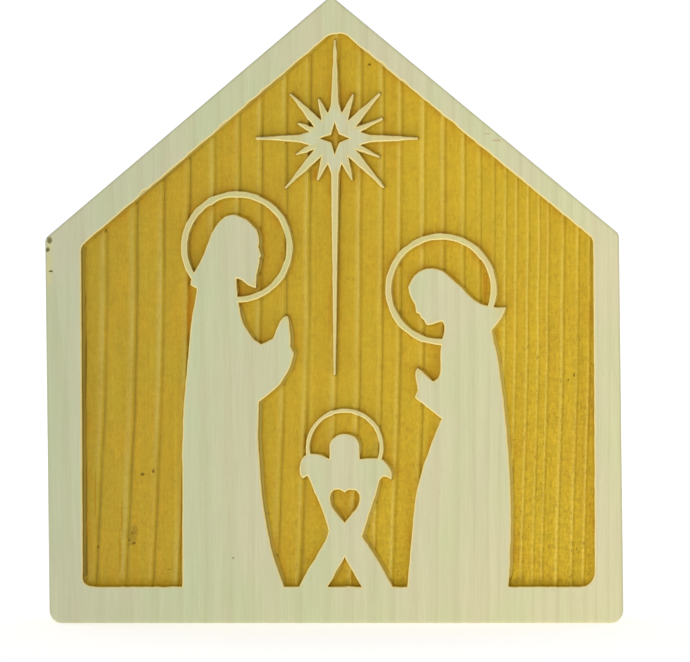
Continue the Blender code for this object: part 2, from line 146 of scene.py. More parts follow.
CORNER_CHIPS = ((-69.45, 93.5, 0.62, 0.85), (-69.9, 91.2, 0.45, 0.62), (-69.1, 85.9, 0.52, 0.24))
FOOT_OF_RECESS = 9.1 * MM
FRINGE = 1.1 * MM  # how far the darker band along the foot of the recess reaches up
NEAR_REACH = 3 * MM
SPECK_PIT = 0.2 * MM
CHIP_DEPTH = 0.45 * MM
CHIP_REACH = 3 * MM  # how far round the chips the edges left too short are cleaned up
CHIP_RAGGEDNESS = 0.35
CHIP_PATTERN = 2.3

# Colours of the bare wood, at the board's left and right where there are two
BARE_LEFT = (0.487, 0.507, 0.322, 1)
BARE_RIGHT = (0.672, 0.645, 0.377, 1)
COOL_TINT = (0.97, 1.01, 0.97, 1)
WARM_TINT = (1.03, 0.99, 1.03, 1)
SIDE_WOOD = (0.64, 0.57, 0.38, 1)
END_GRAIN = (0.47, 0.37, 0.20, 1)
THIN_WOOD_TINT = (1.05, 0.945, 0.66, 1)
LATE_WOOD = (0.36, 0.25, 0.11, 1)
BARE_PORE = (0.30, 0.22, 0.11, 1)
TAN = (0.50, 0.34, 0.17, 1)
YELLOWED = (0.58, 0.54, 0.22, 1)
BARE_SPECK = (0.20, 0.14, 0.07, 1)
CHIPPED = (0.17, 0.145, 0.03, 1)

# Colours of the stain, at the board's left and right where there are two
STAIN_LEFT = (0.428, 0.284, 0.021, 1)
STAIN_RIGHT = (0.598, 0.397, 0.020, 1)
DEEP_STAIN = (0.56, 0.325, 0.020, 1)
OLIVE_STAIN = (0.46, 0.365, 0.026, 1)
DARK_STREAK = (0.47, 0.275, 0.012, 1)
PALE_STREAK = (0.66, 0.50, 0.050, 1)
# The next two colours are painted highlight on the rings' hard edges, and the one after is painted shadow in
# the steps behind them
CREST_HIGHLIGHT_LEFT = (0.49, 0.405, 0.105, 1)
CREST_HIGHLIGHT_RIGHT = (0.84, 0.62, 0.10, 1)
RING_STEP_SHADOW = (0.24, 0.165, 0.016, 1)
# Stain pooled along the raised edges, deepened with painted shade; the colour after it is painted shade
# where the floor meets them
POOLED_STAIN_AND_SHADE = (0.47, 0.25, 0.008, 1)
EDGE_SHADE = (0.25, 0.155, 0.012, 1)
# A darker, ragged band along the foot of the recess
FOOT_BAND_TONE = (0.42, 0.265, 0.004, 1)
POCKET_STAIN = (0.50, 0.24, 0.006, 1)
DOT_STAIN = (0.29, 0.165, 0.008, 1)
SMUDGE_STAIN = (0.29, 0.19, 0.018, 1)
RESIN_STAIN = (0.40, 0.235, 0.008, 1)
SPECK_STAIN = (0.17, 0.10, 0.004, 1)
# The next three colours are painted shade on walls that face away from the light, darkest at the left, and
# the painted shade lines on them
SHADED_WALL_LEFT = (0.28, 0.205, 0.035, 1)
SHADED_WALL_RIGHT = (0.64, 0.51, 0.135, 1)
WALL_SHADE_LINE = (0.13, 0.09, 0.012, 1)
# The next two colours are a painted highlight along the top edge of the walls, on wood left bare there
EDGE_HIGHLIGHT_LEFT = (0.78, 0.67, 0.29, 1)
EDGE_HIGHLIGHT_RIGHT = (0.91, 0.76, 0.32, 1)
TONE_REACH = 30 * MM  # from this place across, the stain has its right-hand tone
WHITE = (1.0, 1.0, 1.0, 1)
PAPER = (0.93, 0.93, 0.93, 1)

# Camera: the width of the view at the front face, and where its middle lies
VIEW_WIDTH = 168.3 * MM
VIEW_CENTRE_X = 2.6 * MM
VIEW_CENTRE_Z = 71.3 * MM
CAMERA_DISTANCE = 1.5
SENSOR_WIDTH = 36.0

# Studio, in metres
FLOOR_SIZE = 6
FLOOR_BACK = 2  # only the floor's back edge lies further back than this
BACKDROP_HEIGHT = 4
COVE_RADIUS = 1.0
PAPER_GLOW = 0.53
SKY_STRENGTH = 0.46
SOFTBOX_PLACE = (-0.20, FRONT - 1.0, -0.06)
SOFTBOX_AIM = (0, 0, 0.076)
SOFTBOX_SIZE = 0.45
SOFTBOX_POWER = 3.62


def select_nothing():
    """Leaves nothing selected, because an operator acts on all that is."""
    bpy.ops.object.select_all(action="DESELECT")


def edit(piece):
    """Opens one piece in edit mode."""
    select_nothing()
    bpy.context.view_layer.objects.active = piece
    piece.select_set(True)
    bpy.ops.object.mode_set(mode="EDIT")


def close_edit():
    bpy.ops.object.mode_set(mode="OBJECT")


def pick(piece, kind, wanted):
    """Selects, in edit mode, the vertices, edges or faces that pass a test, and says how many."""
    bpy.ops.mesh.select_mode(type=kind)
    bpy.ops.mesh.select_all(action="DESELECT")
    shape = bmesh.from_edit_mesh(piece.data)
    parts = {"VERT": shape.verts, "EDGE": shape.edges, "FACE": shape.faces}[kind]
    picked = [part for part in parts if wanted(part)]
    for part in picked:
        part.select_set(True)
    bmesh.update_edit_mesh(piece.data)
    return len(picked)


def grain_noise(x, z, pattern):
    """Smooth noise at a point of the front, drawn out along the grain as its pattern says."""
    across, up, layer = pattern
    return noise.noise(Vector((x * across, z * up, layer)))


def below_bend(z):
    """Height left below the bend in the grain, eased in around it."""
    rise = z - BEND_HEIGHT
    return (math.hypot(rise, BEND_RADIUS) - rise) / 2


def grain_shift(place, z):
    """How far the grain has moved sideways at a height: it leans, and low down bends, most on the left."""
    share = (place - LOW.x) / (HIGH.x - LOW.x)
    slant = BEND_AT_LEFT + (BEND_AT_RIGHT - BEND_AT_LEFT) * share
    wander = RING_WANDER * grain_noise(place, z, RING_WANDER_PATTERN)
    return RING_LEAN * (z - RING_HEIGHT) - slant * (below_bend(z) - below_bend(RING_HEIGHT)) + wander


def ring_edges(left, right):
    """Where each ring's hard edge lies between two sides; past the list, rings are like its outer ones."""
    edges = list(accumulate((width * MM for width in RING_WIDTHS), initial=FIRST_RING_EDGE))
    while edges[0] > left:
        edges.insert(0, edges[0] - RING_WIDTHS[0] * MM)
    while edges[-1] < right:
        edges.append(edges[-1] + RING_WIDTHS[-1] * MM)
    return edges


RING_EDGES = ring_edges(LOW.x - RING_MARGIN, HIGH.x + RING_MARGIN)


def drop_run(width):
    return RING_DROP_RUN + RING_DROP_SHARE * width


def ring_at(x, z):
    """How far a point of the front lies across its ring, from its soft side, 0, to its hard edge, 1."""
    along = x - grain_shift(x - grain_shift(x, z), z)
    for edge, following in zip(RING_EDGES, RING_EDGES[1:]):
        if along < following:
            start = edge + drop_run(following - edge)
            return max(0.0, (along - start) / (following - start))
    return 1.0


def floor_rise(across):
    """The shape of the floor across a ring: flat in the soft wood, then up to a narrow hard edge."""
    return SOFT_WOOD_RISE * across + (1 - SOFT_WOOD_RISE) * across ** 4


def copy_of_solid():
    """The solid from the frame as a piece of its own, with its loose triangles joined up."""
    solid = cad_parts["carved_block"]
    piece = solid.copy()
    piece.data = solid.data.copy()
    piece.parent = None
    piece.name = "nativity_block"
    for key in list(piece.keys()):
        del piece[key]
    bpy.context.scene.collection.objects.link(piece)
    edit(piece)
    bpy.ops.mesh.select_all(action="SELECT")
    bpy.ops.mesh.remove_doubles(threshold=0.002 * MM)
    close_edit()
    return piece


def is_floor(face):
    depth = face.calc_center_median().y - FRONT
    return FLOOR_DEPTH / 2 < depth < SUNK_DEPTH and face.normal.y < -0.3


def floor_of(piece):
    """The floor of the recess, to measure from, and the corners of its box."""
    shape = bmesh.new()
    shape.from_mesh(piece.data)
    shape.normal_update()
    bmesh.ops.delete(shape, geom=[face for face in shape.faces if not is_floor(face)], context="FACES")
    tree = BVHTree.FromBMesh(shape)
    spots = [vert.co for vert in shape.verts]
    low = Vector([min(spot[i] for spot in spots) for i in range(3)])
    high = Vector([max(spot[i] for spot in spots) for i in range(3)])
    shape.free()
    return tree, low, high


def sink_floor(piece):
    """Lowers the solid's own floor out of the way of the worn one."""
    edit(piece)
    shape = bmesh.from_edit_mesh(piece.data)
    floor = {vert for face in shape.faces if is_floor(face) for vert in face.verts}
    for vert in floor:
        vert.co.y = FRONT + SUNK_DEPTH
    bmesh.update_edit_mesh(piece.data)
    bpy.ops.mesh.select_all(action="SELECT")
    bpy.ops.mesh.dissolve_limited(angle_limit=math.radians(0.5))
    close_edit()


def in_border(spot):
    """True for a place that lies inside the outline, past its edge."""
    roof = HIGH.z - ROOF_SLOPE * abs(spot.x)
    return LOW.x + 2 * MM < spot.x < HIGH.x - 2 * MM and LOW.z + 4 * MM < spot.z < roof - 3 * MM


def is_under_roof(spot):
    """True for a place by the roof's inner edge, clear of its peak and its eaves."""
    drop = HIGH.z - ROOF_SLOPE * abs(spot.x) - spot.z
    return drop < ROOF_BORDER and BITTEN_FROM < abs(spot.x) < BITTEN_TO


def is_wall(face):
    centre = face.calc_center_median()
    return abs(face.normal.y) < 0.2 and centre.y < FRONT + SUNK_DEPTH


def way_back(vert):
    """The way from a vertex into the wood, longer at a corner, so that both its walls move alike."""
    normals = []
    for face in vert.link_faces:
        if is_wall(face) and all(face.normal.dot(other) < 0.999 for other in normals):
            normals.append(face.normal.copy())
    total = sum(normals, Vector())
    total.y = 0
    if total.length < 0.2:
        return Vector()
    return -total.normalized() * min(LONGEST_WAY_BACK, len(normals) / total.length)


def width_behind(walls, spot, back):
    """How wide the standing wood is behind a point of its edge."""
    start = Vector((spot.x, FRONT + FLOOR_DEPTH / 2, spot.z)) + back * 0.02 * MM
    distance = walls.ray_cast(start, back)[3]
    return distance or BLOCK_DEPTH


def is_long_wall_edge(edge):
    """True for an edge that runs level along a wall and is too long to follow a worn line."""
    start, end = (vert.co for vert in edge.verts)
    level = abs(start.y - end.y) < TOUCH and start.y < FRONT + SUNK_DEPTH + TOUCH
    if not level or edge.calc_length() <= LONGEST_EDGE:
        return False
    return in_border(start) and in_border(end) and any(is_wall(face) for face in edge.link_faces)


def is_flank(face):
    """True for a wall inside the border, below its worn edge."""
    centre = face.calc_center_median()
    below_arris = ARRIS[-1][0] < centre.y - FRONT < SUNK_DEPTH
    return in_border(centre) and abs(face.normal.y) < 0.7 and below_arris


def is_front(face):
    return face.calc_center_median().y < FRONT + TOUCH and face.normal.y < -0.99


def joining_edges(shape):
    """The edges that lie within the front face, where one outline in it is joined to another."""
    within = [edge for edge in shape.edges if all(is_front(face) for face in edge.link_faces)]
    return [[vert.co.xz for vert in edge.verts] for edge in within]


def room_before(joins, spot, back):
    """How far a point can be worn back before it would cross one of the front's joining edges."""
    start = spot.xz + back.xz * 0.002 * MM
    end = spot.xz + back.xz * WORN_REACH
    others = [join for join in joins if spot.xz not in join]
    meetings = [geometry.intersect_line_line_2d(start, end, *join) for join in others]
    return min(((meeting - start).length / 2 for meeting in meetings if meeting), default=WORN_REACH)


def even_out(feet):
    """Makes the spread of the walls change gently from each foot point to the next."""
    for _ in range(EVEN_OUT_PASSES):
        for vert in feet:
            for edge in vert.link_edges:
                other = edge.other_vert(vert)
                if other in feet:
                    feet[vert] = min(feet[vert], feet[other] + STEEPEST_SPREAD * edge.calc_length())
    return feet


def wear_edges(piece):
    """Rounds over the standing wood's top edges and spreads its foot. Gives back its walls."""
    edit(piece)
    for depth, _ in ARRIS[1:]:
        bpy.ops.mesh.select_all(action="SELECT")
        bpy.ops.mesh.bisect(plane_co=(0, FRONT + depth, 0), plane_no=(0, 1, 0))
    while pick(piece, "EDGE", is_long_wall_edge):
        bpy.ops.mesh.subdivide(number_cuts=1)
    shape = bmesh.from_edit_mesh(piece.data)
    shape.normal_update()
    walls = BVHTree.FromBMesh(shape)
    joins = joining_edges(shape)
    moves = {}
    feet = {}
    for vert in shape.verts:
        depth = vert.co.y - FRONT
        back = way_back(vert)
        if not back.length:
            continue
        inside = in_border(vert.co)
        width = width_behind(walls, vert.co, back)
        if inside and depth > SUNK_DEPTH - TOUCH:
            spread = FOOT_SPREAD + LEE_FOOT_SPREAD * max(0.0, -back.x)
            free = width_behind(walls, vert.co, -back)
            feet[vert] = min(spread, FREE_SHARE * free, FOOT_SHARE * width)
            moves[vert] = -back
            continue
        worn = next((share for level, share in ARRIS if abs(depth - level) < TOUCH), 0.0)
        wander = stand = 0.0
        if inside:
            place = Vector((vert.co.x, vert.co.z, 0))
            ragged = 1 + END_GRAIN_WOBBLE * min(1.0, abs(back.z))
            wander = noise.noise(place * BROAD_WOBBLE) + FINE_WOBBLE_SHARE * noise.noise(place * FINE_WOBBLE)
            wander *= EDGE_WOBBLE * ragged
            stand = HARD_RING_STAND * ragged * ring_at(vert.co.x, vert.co.z) ** 6
            if back.z > 0.5 and is_under_roof(vert.co):
                bite = ROOF_BITE * max(0.0, noise.noise(place / ROOF_BITE_SIZE)) ** 1.5
                wander += min(bite, DEEPEST_BITE)
        allowed = DEEP_WEAR_SHARE + (1 - DEEP_WEAR_SHARE) * worn / ARRIS[0][1]
        most = WORN_SHARE * width / back.length
        most = min(most * allowed, room_before(joins, vert.co, back) / back.length)
        moves[vert] = back * min(worn + wander - stand, most)
    for vert, spread in even_out(feet).items():
        moves[vert] = moves[vert] * spread
    for vert, move in moves.items():
        vert.co += move
    shape.normal_update()
    shape.verts.index_update()
    spots = [vert.co.copy() for vert in shape.verts]
    flanks = [[vert.index for vert in face.verts] for face in shape.faces if is_flank(face)]
    bmesh.update_edit_mesh(piece.data)
    close_edit()
    return BVHTree.FromPolygons(spots, flanks)


def divide_front(piece):
    """Divides the front face into cells, so that a value kept at its points changes smoothly across it."""
    edit(piece)
    for axis in (Vector((1, 0, 0)), Vector((0, 0, 1))):
        start = LOW.dot(axis)
        for i in range(1, math.ceil((HIGH.dot(axis) - start) / FRONT_CELL)):
            pick(piece, "FACE", is_front)
            bpy.ops.mesh.bisect(plane_co=axis * (start + i * FRONT_CELL), plane_no=axis)
    close_edit()


def floor_columns(left, right):
    """Across the floor: each column's place along the grain and its place across its ring."""
    columns = []
    for edge, following in zip(RING_EDGES, RING_EDGES[1:]):
        if following < left or edge > right:
            continue
        width = following - edge
        start = edge + drop_run(width)
        run = following - start
        cells = max(FEWEST_RING_CELLS, round(run / CELL_ACROSS))
        columns += [(start + run * i / cells, i / cells, width) for i in range(cells + 1)]
    return columns


def pit_at(x, z):
    """Depth of the pits that the dark specks are, at a point of the floor."""
    depth = 0.0
    for middle, height, half_width, half_height in DARK_SPECKS:
        away = math.hypot((x / MM - middle) / half_width, (z / MM - height) / half_height)
        depth = max(depth, SPECK_PIT * (1 - away / 1.3))
    return depth


def floor_texture(x, z):
    """Height of the fibres, and of the grit between them, that the soft wood is left with."""
    fibre = grain_noise(x, z, FIBRE_PATTERN)
    broad = grain_noise(x, z, BROAD_FIBRE_PATTERN)
    grit = grain_noise(x, z, GRIT_PATTERN)
    lower_right = max(0.0, min(1.0, (x - z * 0.5) / (60 * MM) + 0.35))
    return FIBRE_HEIGHT * (fibre + 0.8 * broad), GRAIN_PIT_DEPTH * grit * (0.15 + 1.35 * lower_right)


def ring_height(place, z):
    """How high a ring's hard edge stands at a height, as a share: some stretches are faint."""
    return 1 - FAINT_RING * (0.5 + grain_noise(place, z, FAINT_RING_PATTERN))


def make_floor(tree, low, high):
    """The worn floor as a slab: a grid laid along the grain, shaped to the rings and thickened."""
    columns = floor_columns(low.x - FLOOR_REACH, high.x + FLOOR_REACH)
    rows = math.ceil((high.z - low.z + 2 * SLAB_MARGIN) / CELL_ALONG) + 1
    select_nothing()
    bpy.ops.mesh.primitive_grid_add(x_subdivisions=len(columns) - 1, y_subdivisions=rows - 1, size=1)
    slab = bpy.context.object
    slab.name = "worn_floor"
    for i, vert in enumerate(slab.data.vertices):
        place, across, width = columns[i % len(columns)]
        z = low.z - SLAB_MARGIN + CELL_ALONG * (i // len(columns))
        x = place + grain_shift(place, z)
        depth = FLOOR_DEPTH + RING_SLOPE * width * (1 - floor_rise(across) * ring_height(place, z))
        fibre, grit = floor_texture(x, z)
        vert.co = (x, FRONT + depth + pit_at(x, z) - fibre - grit * (1 - across ** 4), z)

    def buried(face):
        centre = face.calc_center_median()
        centre.y = FRONT + FLOOR_DEPTH
        return tree.find_nearest(centre, SLAB_MARGIN + MM)[0] is None

    edit(slab)
    pick(slab, "FACE", buried)
    bpy.ops.mesh.delete(type="FACE")
    bpy.ops.mesh.select_all(action="SELECT")
    bpy.ops.mesh.extrude_region_move(TRANSFORM_OT_translate={"value": (0, SLAB_THICKNESS, 0)})
    bpy.ops.mesh.select_all(action="SELECT")
    bpy.ops.mesh.normals_make_consistent(inside=False)
    close_edit()
    return slab


def is_by_chips(vert):
    """True for a point of the left shoulder, where the chips are."""
    lowest = min(height - half_height for _, height, _, half_height in CORNER_CHIPS) * MM
    on_left = vert.co.x - LOW.x < CHIP_REACH
    return on_left and vert.co.z > lowest - CHIP_REACH and vert.co.y < FRONT + 2 * CHIP_DEPTH


def cut_chips(piece):
    """Breaks small ragged chips out of the left shoulder."""
    for middle, height, half_width, half_height in CORNER_CHIPS:
        select_nothing()
        bpy.ops.mesh.primitive_ico_sphere_add(subdivisions=3, radius=1)
        chip = bpy.context.object
        for vert in chip.data.vertices:
            place = vert.co * CHIP_PATTERN + Vector((middle, height, 0))
            ragged = 1 + CHIP_RAGGEDNESS * noise.noise(place)
            across = middle + vert.co.x * half_width * ragged
            up = height + vert.co.z * half_height * ragged
            vert.co = (across * MM, FRONT + vert.co.y * CHIP_DEPTH * ragged, up * MM)
        combine(piece, chip, "DIFFERENCE")
    edit(piece)
    pick(piece, "VERT", is_by_chips)
    bpy.ops.mesh.dissolve_degenerate(threshold=SHORTEST_EDGE)
    close_edit()


def combine(piece, other, operation):
    """Adds another solid to a piece, or takes it away."""
    change = piece.modifiers.new("combine", "BOOLEAN")
    change.operation = operation
    change.solver = "MANIFOLD"
    change.object = other
    bpy.context.view_layer.objects.active = piece
    bpy.ops.object.modifier_apply(modifier=change.name)
    bpy.data.objects.remove(other, do_unlink=True)


# Node building

def node(tree, kind, inputs=None, **settings):
    """Adds a shader node. An input given as a socket is linked, and any other is set."""
    made = tree.nodes.new(kind)
    for name, value in settings.items():
        setattr(made, name, value)
    for name, value in (inputs or {}).items():
        if isinstance(value, bpy.types.NodeSocket):
            tree.links.new(value, made.inputs[name])
        else:
            made.inputs[name].default_value = value
    return made


def math_node(tree, operation, first, second=0.0):
    return node(tree, "ShaderNodeMath", {0: first, 1: second}, operation=operation).outputs[0]


def times(tree, first, second):
    return math_node(tree, "MULTIPLY", first, second)


def plus(tree, first, second):
    return math_node(tree, "ADD", first, second)


def minus(tree, first, second):
    return math_node(tree, "SUBTRACT", first, second)


def remap(tree, value, low, high, to_low=0.0, to_high=1.0, smooth=True):
    inputs = {"Value": value, "From Min": low, "From Max": high, "To Min": to_low, "To Max": to_high}
    kind = "SMOOTHSTEP" if smooth else "LINEAR"
    return node(tree, "ShaderNodeMapRange", inputs, interpolation_type=kind).outputs["Result"]


def scaled(tree, value, low, high, to_low=0.0, to_high=1.0):
    """A value carried evenly from one range to another."""
    return remap(tree, value, low, high, to_low, to_high, smooth=False)


def blend(tree, share, first, second, kind="MIX"):
    """Mixes two colours."""
    mix = node(tree, "ShaderNodeMix", data_type="RGBA", blend_type=kind)
    for name, kind_of, value in (("Factor", "VALUE", share), ("A", "RGBA", first), ("B", "RGBA", second)):
        socket = next(s for s in mix.inputs if s.name == name and s.type == kind_of)
        if isinstance(value, bpy.types.NodeSocket):
            tree.links.new(value, socket)
        else:
            socket.default_value = value
    return next(s for s in mix.outputs if s.type == "RGBA")


def stretched(tree, position, scale):
    """Object coordinates scaled along each axis, in pattern units per metre."""
    return node(tree, "ShaderNodeMapping", {"Vector": position, "Scale": scale}).outputs[0]


def noise_value(tree, position, scale, detail=2.0, roughness=0.5):
    inputs = {"Vector": stretched(tree, position, scale), "Scale": 1.0}
    inputs.update({"Detail": detail, "Roughness": roughness})
    return node(tree, "ShaderNodeTexNoise", inputs).outputs[0]


def make_group(name, inputs, outputs):
    """An empty node group with named sockets, and its two end nodes."""
    group = bpy.data.node_groups.new(name, "ShaderNodeTree")
    for socket, kind in inputs:
        group.interface.new_socket(socket, in_out="INPUT", socket_type=kind)
    for socket, kind in outputs:
        group.interface.new_socket(socket, in_out="OUTPUT", socket_type=kind)
    return group, group.nodes.new("NodeGroupInput"), group.nodes.new("NodeGroupOutput")


def growth_ring_group():
    """Growth rings through the solid wood: where their dark late wood is."""
    group, start, end = make_group(
        "growth rings",
        [("Position", "NodeSocketVector")],
        [("Late wood", "NodeSocketFloat")],
    )
    place = node(group, "ShaderNodeSeparateXYZ", {0: start.outputs["Position"]})
    lean = times(group, minus(group, place.outputs["Z"], RING_HEIGHT), RING_LEAN)
    rise = minus(group, place.outputs["Z"], BEND_HEIGHT)
    squared = plus(group, times(group, rise, rise), BEND_RADIUS ** 2)
    eased = math_node(group, "SQRT", squared)
    below = times(group, minus(group, eased, rise), 0.5)
    below = minus(group, below, below_bend(RING_HEIGHT))
    slant = scaled(group, place.outputs["X"], LOW.x, HIGH.x, BEND_AT_LEFT, BEND_AT_RIGHT)
    shift = minus(group, lean, times(group, slant, below))
    waver = noise_value(group, start.outputs["Position"], (120, 120, 18))
    waver = scaled(group, waver, 0.0, 1.0, -0.5 * MM, 0.5 * MM)
    along = minus(group, plus(group, place.outputs["X"], waver), shift)
    from_pith_x = minus(group, along, PITH_X)
    pith_y = FRONT + FLOOR_DEPTH + PITH_BEHIND_FLOOR
    lean_y = times(group, place.outputs["Z"], PITH_LEAN)
    behind = minus(group, minus(group, place.outputs["Y"], pith_y), lean_y)
    squares = [times(group, side, side) for side in (from_pith_x, behind)]
    radius = math_node(group, "SQRT", plus(group, *squares))

    def radius_of(edge):
        return math.hypot(edge - PITH_X, PITH_BEHIND_FLOOR + RING_HEIGHT * PITH_LEAN)

    radii = [radius_of(edge) for edge in RING_EDGES]
    while radii[0] > INNER_RING_WIDTH:
        radii.insert(0, radii[0] - INNER_RING_WIDTH)
    spread = radii[-1] - radii[0]
    counter = node(group, "ShaderNodeFloatCurve")
    curve = counter.mapping.curves[0]
    for i, ring in enumerate(radii):
        spot = ((ring - radii[0]) / spread, i / (len(radii) - 1))
        if 0 < i < len(radii) - 1:
            curve.points.new(*spot).handle_type = "VECTOR"
    counter.mapping.update()
    share = scaled(group, radius, radii[0], radii[-1])
    group.links.new(share, counter.inputs["Value"])
    count = times(group, counter.outputs[0], len(radii) - 1)
    across = math_node(group, "FRACT", count)
    rising = remap(group, across, 0.45, 0.94)
    falling = remap(group, across, 0.95, 1.0, 1.0, 0.0)
    group.links.new(times(group, rising, falling), end.inputs["Late wood"])
    return group


def fibre_group():
    """Fine fibres along the grain, the short dark pores between them, and the broad cloudiness of wood."""
    group, start, end = make_group(
        "wood fibres",
        [("Position", "NodeSocketVector")],
        [("Fibre", "NodeSocketFloat"), ("Pore", "NodeSocketFloat"), ("Mottle", "NodeSocketFloat")],
    )
    position = start.outputs["Position"]
    fine = noise_value(group, position, (2600, 2600, 90), detail=3.0, roughness=0.6)
    coarse = noise_value(group, position, (700, 700, 30))
    fibre = plus(group, times(group, fine, 0.6), times(group, coarse, 0.4))
    pores = noise_value(group, position, (3200, 3200, 420), detail=1.0)
    group.links.new(fibre, end.inputs["Fibre"])
    group.links.new(remap(group, pores, 0.66, 0.74), end.inputs["Pore"])
    group.links.new(noise_value(group, position, (75, 75, 40), detail=2.0), end.inputs["Mottle"])
    return group


def mark_group():
    """One soft-edged mark, as wide and as high as its size says."""
    group, start, end = make_group(
        "mark",
        [("Position", "NodeSocketVector"), ("Middle", "NodeSocketVector"), ("Size", "NodeSocketVector")],
        [("Mark", "NodeSocketFloat")],
    )
    position = start.outputs["Position"]
    ragged = node(group, "ShaderNodeTexNoise", {"Vector": position, "Scale": 1600.0, "Detail": 2.0})
    offset = {0: position, 1: start.outputs["Middle"]}
    away = node(group, "ShaderNodeVectorMath", offset, operation="SUBTRACT").outputs[0]
    in_sizes = {0: away, 1: start.outputs["Size"]}
    away = node(group, "ShaderNodeVectorMath", in_sizes, operation="DIVIDE").outputs[0]
    distance = node(group, "ShaderNodeVectorMath", {0: away}, operation="LENGTH").outputs["Value"]
    distance = plus(group, distance, scaled(group, ragged.outputs[0], 0.3, 0.7, -0.35, 0.35))
    group.links.new(remap(group, distance, 0.65, 1.1, 1.0, 0.0), end.inputs["Mark"])
    return group


def across_board(tree, position, left, right, reach):
    """A colour that changes from the left side of the board as far as a place on its right."""
    place = node(tree, "ShaderNodeSeparateXYZ", {0: position}).outputs["X"]
    return blend(tree, scaled(tree, place, LOW.x, reach), left, right)


def shaded(tree, colour, value):
    """A colour multiplied by a value."""
    grey = node(tree, "ShaderNodeCombineColor", {0: value, 1: value, 2: value}).outputs[0]
    return blend(tree, 1.0, colour, grey, "MULTIPLY")


def placed(tree, group, position, **inputs):
    used = node(tree, "ShaderNodeGroup", node_tree=group)
    tree.links.new(position, used.inputs["Position"])
    for name, value in inputs.items():
        used.inputs[name].default_value = value
    return used.outputs


def marked(tree, tone, mark, position, places, colour, strength):
    """A tone with some marks on it."""
    for middle, height, half_width, half_height in places:
        spot = placed(tree, mark, position, Middle=(middle * MM, FRONT, height * MM),
                      Size=(half_width * MM, BLOCK_DEPTH / 2, half_height * MM))["Mark"]
        tone = blend(tree, times(tree, spot, strength), tone, colour)
    return tone


def new_material(name, roughness):
    finish = bpy.data.materials.new(name)
    finish.use_nodes = True
    shader = finish.node_tree.nodes["Principled BSDF"]
    shader.inputs["Roughness"].default_value = roughness
    shader.inputs["Specular IOR Level"].default_value = 0.3
    position = node(finish.node_tree, "ShaderNodeTexCoord").outputs["Object"]
    return finish, finish.node_tree, shader, position


def bare_wood(rings, fibres, mark):
    """Pale sanded softwood, unfinished, with rougher and darker end grain where it is sawn across."""
    finish, tree, shader, position = new_material("bare_softwood", 0.62)
    ring = placed(tree, rings, position)
    fibre = placed(tree, fibres, position)
    normal = node(tree, "ShaderNodeSeparateXYZ", {0: node(tree, "ShaderNodeNewGeometry").outputs["Normal"]})
    depth = minus(tree, node(tree, "ShaderNodeSeparateXYZ", {0: position}).outputs["Y"], FRONT)
    past_edge = remap(tree, depth, 0.3 * MM, 1.4 * MM)
    end_grain = remap(tree, math_node(tree, "ABSOLUTE", normal.outputs["Z"]), 0.4, 0.75)
    end_grain = times(tree, end_grain, past_edge)
    not_front = times(tree, remap(tree, normal.outputs["Y"], -0.95, -0.6), past_edge)
    tone = across_board(tree, position, BARE_LEFT, BARE_RIGHT, HIGH.x)
    tint = blend(tree, remap(tree, fibre["Mottle"], 0.35, 0.65), COOL_TINT, WARM_TINT)
    tone = blend(tree, 1.0, tone, tint, "MULTIPLY")
    tone = blend(tree, times(tree, not_front, 0.7), tone, SIDE_WOOD)
    tone = blend(tree, times(tree, end_grain, 0.45), tone, END_GRAIN)
    thin = node(tree, "ShaderNodeAttribute", attribute_name="thin_wood").outputs["Fac"]
    tone = blend(tree, thin, tone, THIN_WOOD_TINT, "MULTIPLY")
    streak = scaled(tree, fibre["Fibre"], 0.3, 0.7, 0.93, 1.05)
    tone = shaded(tree, tone, streak)
    on_sides = remap(tree, not_front, 0.0, 1.0, 0.09, 0.26)
    ring_share = plus(tree, on_sides, times(tree, end_grain, 0.3))
    tone = blend(tree, times(tree, ring["Late wood"], ring_share), tone, LATE_WOOD)
    tone = blend(tree, times(tree, fibre["Pore"], 0.12), tone, BARE_PORE)
    tone = marked(tree, tone, mark, position, TAN_MARKS, TAN, 0.7)
    tone = marked(tree, tone, mark, position, YELLOWED_PATCHES, YELLOWED, 0.5)
    tone = marked(tree, tone, mark, position, DARK_SPECKS, BARE_SPECK, 0.7)
    tone = marked(tree, tone, mark, position, CORNER_CHIPS, CHIPPED, 0.85)
    tree.links.new(tone, shader.inputs["Base Color"])
    height = plus(tree, fibre["Fibre"], times(tree, ring["Late wood"], 0.4))
    saw_marks = noise_value(tree, position, (1300, 35, 1300), detail=2.0)
    height = plus(tree, height, times(tree, end_grain, saw_marks))
    bump = node(tree, "ShaderNodeBump", {"Height": height, "Strength": 0.4, "Distance": 0.08 * MM})
    tree.links.new(bump.outputs["Normal"], shader.inputs["Normal"])
    return finish


